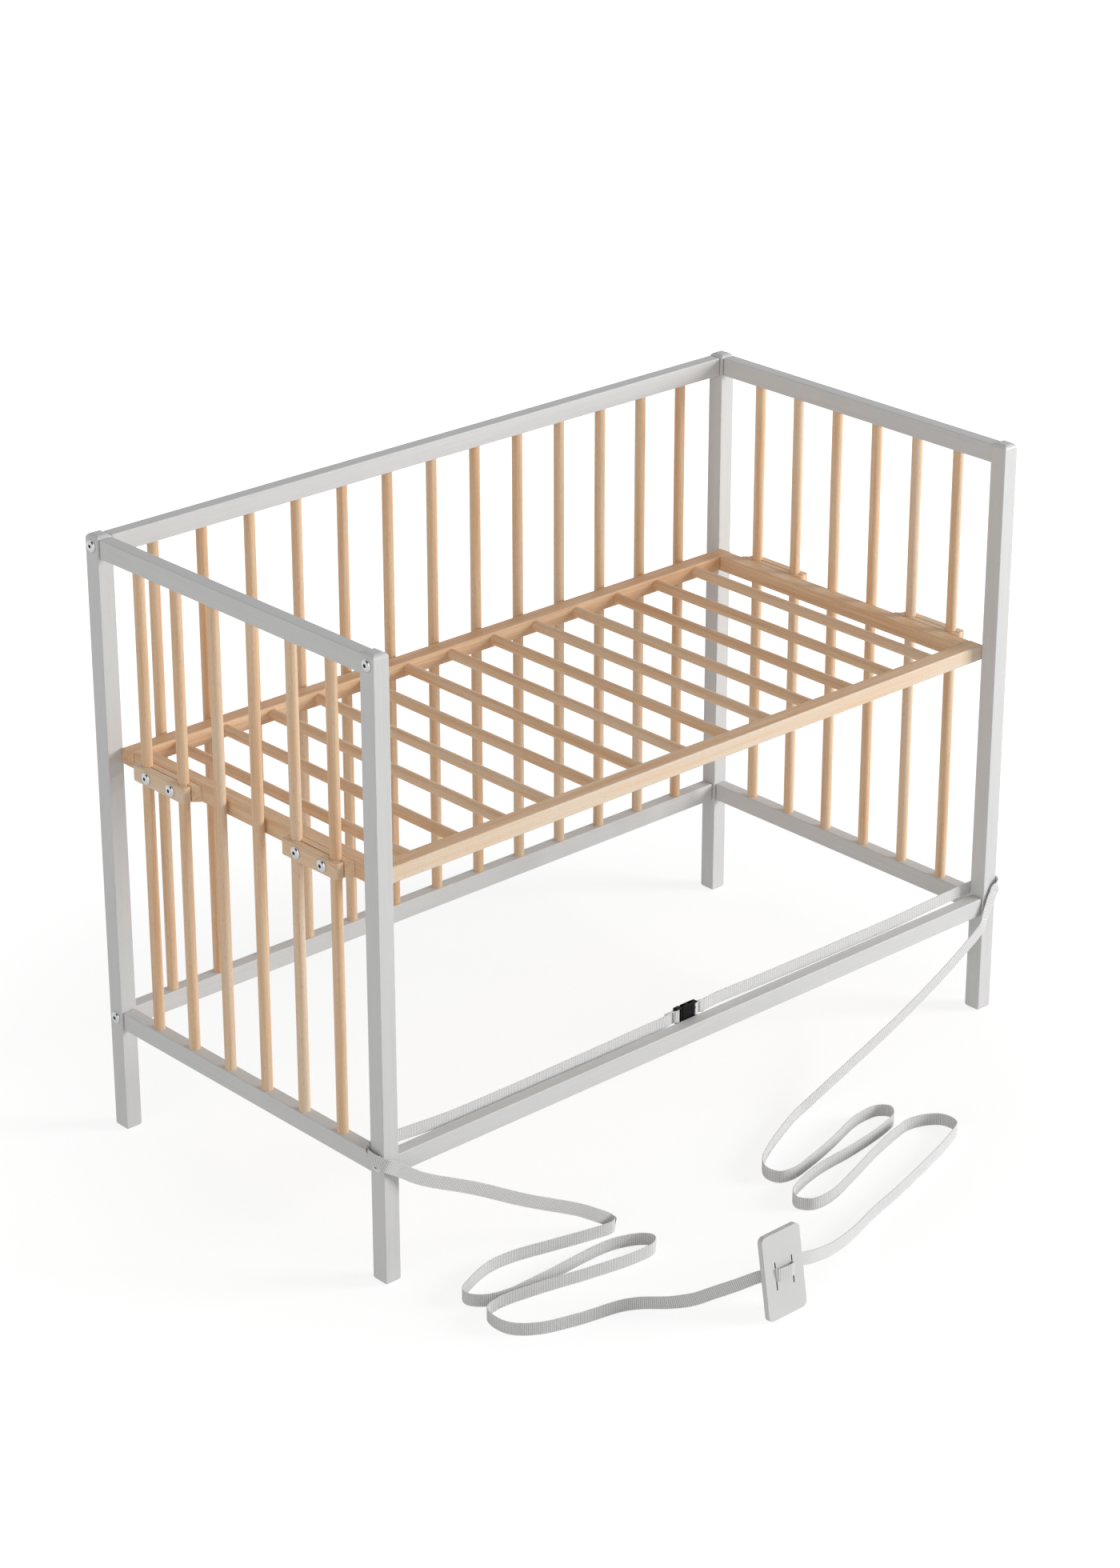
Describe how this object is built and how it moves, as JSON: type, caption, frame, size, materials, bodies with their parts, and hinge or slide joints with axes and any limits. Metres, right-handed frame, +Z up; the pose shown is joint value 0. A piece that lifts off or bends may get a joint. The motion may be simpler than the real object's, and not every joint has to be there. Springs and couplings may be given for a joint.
{
  "type": "bedside crib",
  "caption": "Bedside crib of painted and natural wood, open on the bed side, with a slatted mattress base that slides on the end bars and a webbing strap that ties it to the bed.",
  "frame": {"origin": "on the floor under the middle of the crib", "axes": "+X along the crib, +Z up, -Y towards the open side and the parents' bed"},
  "size_m": [0.9887, 0.827, 0.7379],
  "materials": {
    "grey_paint": "light grey satin paint",
    "beech": "clear matt lacquer",
    "bolt_steel": "zinc plated",
    "webbing": "woven flat webbing",
    "black_plastic": "moulded",
    "plate_plastic": "moulded"
  },
  "bodies": {
    "frame": {"post_front_left": "grey_paint", "post_rear_left": "grey_paint", "post_front_right": "grey_paint", "post_rear_right": "grey_paint", "end_top_rail_left": "grey_paint", "end_bottom_rail_left": "grey_paint", "end_top_rail_right": "grey_paint", "end_bottom_rail_right": "grey_paint", "end_bar_left_1": "beech", "end_bar_left_2": "beech", "end_bar_left_3": "beech", "end_bar_left_4": "beech", "end_bar_left_5": "beech", "end_bar_left_6": "beech", "end_bar_right_1": "beech", "end_bar_right_2": "beech", "end_bar_right_3": "beech", "end_bar_right_4": "beech", "end_bar_right_5": "beech", "end_bar_right_6": "beech", "back_top_rail": "grey_paint", "back_bottom_rail_with_bars": "grey_paint", "front_bottom_rail": "grey_paint", "frame_bolt_bottom_front_left": "bolt_steel", "frame_bolt_bottom_front_right": "bolt_steel", "frame_bolt_bottom_rear_left": "bolt_steel", "frame_bolt_bottom_rear_right": "bolt_steel", "frame_bolt_top_front_left": "bolt_steel", "frame_bolt_top_front_right": "bolt_steel", "frame_bolt_top_rear_left": "bolt_steel", "frame_bolt_top_rear_right": "bolt_steel", "buckle_female": "black_plastic", "strap_inner_left": "webbing", "strap_inner_right": "webbing", "anchor_plate": "plate_plastic", "strap_free_left": "webbing", "strap_free_right": "webbing"},
    "base": {"base_front_rail": "beech", "base_rear_rail_with_slats": "beech", "base_end_rail_left": "beech", "base_end_rail_right": "beech", "clamp_pad_front_left": "beech", "clamp_pad_front_right": "beech", "clamp_pad_rear_left": "beech", "clamp_pad_rear_right": "beech"},
    "buckle_male": {"buckle_male": "black_plastic"},
    "clamp_front_left": {"clamp_jaw_front_left": "beech", "clamp_bolt_front_left_1": "bolt_steel", "clamp_bolt_front_left_2": "bolt_steel"},
    "clamp_front_right": {"clamp_jaw_front_right": "beech", "clamp_bolt_front_right_1": "bolt_steel", "clamp_bolt_front_right_2": "bolt_steel"},
    "clamp_rear_left": {"clamp_jaw_rear_left": "beech", "clamp_bolt_rear_left_1": "bolt_steel", "clamp_bolt_rear_left_2": "bolt_steel"},
    "clamp_rear_right": {"clamp_jaw_rear_right": "beech", "clamp_bolt_rear_right_1": "bolt_steel", "clamp_bolt_rear_right_2": "bolt_steel"}
  },
  "joints": [
    {"name": "base_height", "type": "slide", "parent": "frame", "child": "base", "axis": [0, 0, 1], "range_m": [-0.2875, 0.226]},
    {"name": "clamp_front_left_opening", "type": "slide", "parent": "base", "child": "clamp_front_left", "axis": [-1, 0, 0], "range_m": [0, 0.004]},
    {"name": "clamp_front_right_opening", "type": "slide", "parent": "base", "child": "clamp_front_right", "axis": [1, 0, 0], "range_m": [0, 0.004]},
    {"name": "clamp_rear_left_opening", "type": "slide", "parent": "base", "child": "clamp_rear_left", "axis": [-1, 0, 0], "range_m": [0, 0.004]},
    {"name": "clamp_rear_right_opening", "type": "slide", "parent": "base", "child": "clamp_rear_right", "axis": [1, 0, 0], "range_m": [0, 0.004]},
    {"name": "buckle_release", "type": "slide", "parent": "frame", "child": "buckle_male", "axis": [-1, 0, 0], "range_m": [0, 0.018], "deforming": ["strap_inner_left"]}
  ]
}
